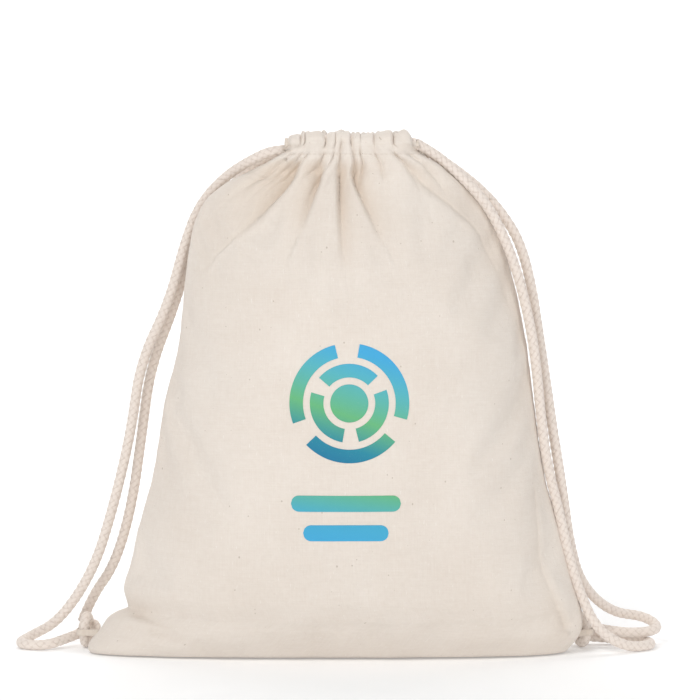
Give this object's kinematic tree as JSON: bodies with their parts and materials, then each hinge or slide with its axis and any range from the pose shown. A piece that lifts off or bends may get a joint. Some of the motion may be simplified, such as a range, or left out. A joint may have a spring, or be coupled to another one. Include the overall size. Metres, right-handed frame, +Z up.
{
  "type": "drawstring backpack",
  "caption": "Soft cotton drawstring backpack, standing filled, with its neck drawn shut by two braided cords that serve as shoulder straps.",
  "frame": {"origin": "on the floor, under the middle of the standing bag", "axes": "+Z up, -Y towards the viewer of the printed front, +X to the right seen from the front"},
  "size_m": [0.5015, 0.137, 0.401],
  "materials": {
    "cotton_cloth": "plain-woven unbleached cotton with fine seed flecks",
    "cotton_tape": "flat woven cotton tape",
    "cotton_thread": "matt cotton sewing thread",
    "cotton_cord": "round braided cotton cord",
    "print_gradient": "matt screen print, blue running into green",
    "print_blue": "matt screen print, light blue"
  },
  "bodies": {
    "bag": {"front_panel": "cotton_cloth", "back_panel": "cotton_cloth", "bottom_seam": "cotton_cloth", "left_side_seam": "cotton_cloth", "right_side_seam": "cotton_cloth", "front_channel": "cotton_cloth", "back_channel": "cotton_cloth", "front_channel_stitching": "cotton_thread", "back_channel_stitching": "cotton_thread", "left_slit_hems": "cotton_cloth", "right_slit_hems": "cotton_cloth", "printed_rings": "print_gradient", "printed_bars": "print_blue", "left_corner_tab": "cotton_tape", "right_corner_tab": "cotton_tape", "left_tab_stitching": "cotton_thread", "right_tab_stitching": "cotton_thread", "left_front_strand_top": "cotton_cord", "left_back_strand_top": "cotton_cord", "right_front_strand_top": "cotton_cord", "right_back_strand_top": "cotton_cord"},
    "left_cord_loop": {"left_channel_cord": "cotton_cord"},
    "right_cord_loop": {"right_channel_cord": "cotton_cord"},
    "left_strap": {"left_front_strand": "cotton_cord", "left_back_strand": "cotton_cord", "left_knot": "cotton_cord", "left_tab_tie": "cotton_cord"},
    "right_strap": {"right_front_strand": "cotton_cord", "right_back_strand": "cotton_cord", "right_knot": "cotton_cord", "right_tab_tie": "cotton_cord"}
  },
  "joints": [
    {"name": "left_cord_slide", "type": "slide", "parent": "bag", "child": "left_cord_loop", "axis": [1, 0, 0], "range_m": [0, 0.025]},
    {"name": "right_cord_slide", "type": "slide", "parent": "bag", "child": "right_cord_loop", "axis": [-1, 0, 0], "range_m": [0, 0.025]},
    {"name": "left_strap_swing", "type": "hinge", "parent": "bag", "child": "left_strap", "pos_m": [-0.194, 0.01, 0.014], "axis": [0.3769, -0.0253, 0.9259], "range_deg": [-8, 20], "deforming": ["left_front_strand_top", "left_back_strand_top"]},
    {"name": "right_strap_swing", "type": "hinge", "parent": "bag", "child": "right_strap", "pos_m": [0.194, 0.01, 0.014], "axis": [-0.3208, -0.0259, 0.9468], "range_deg": [0, 12], "deforming": ["right_front_strand_top", "right_back_strand_top"]}
  ]
}
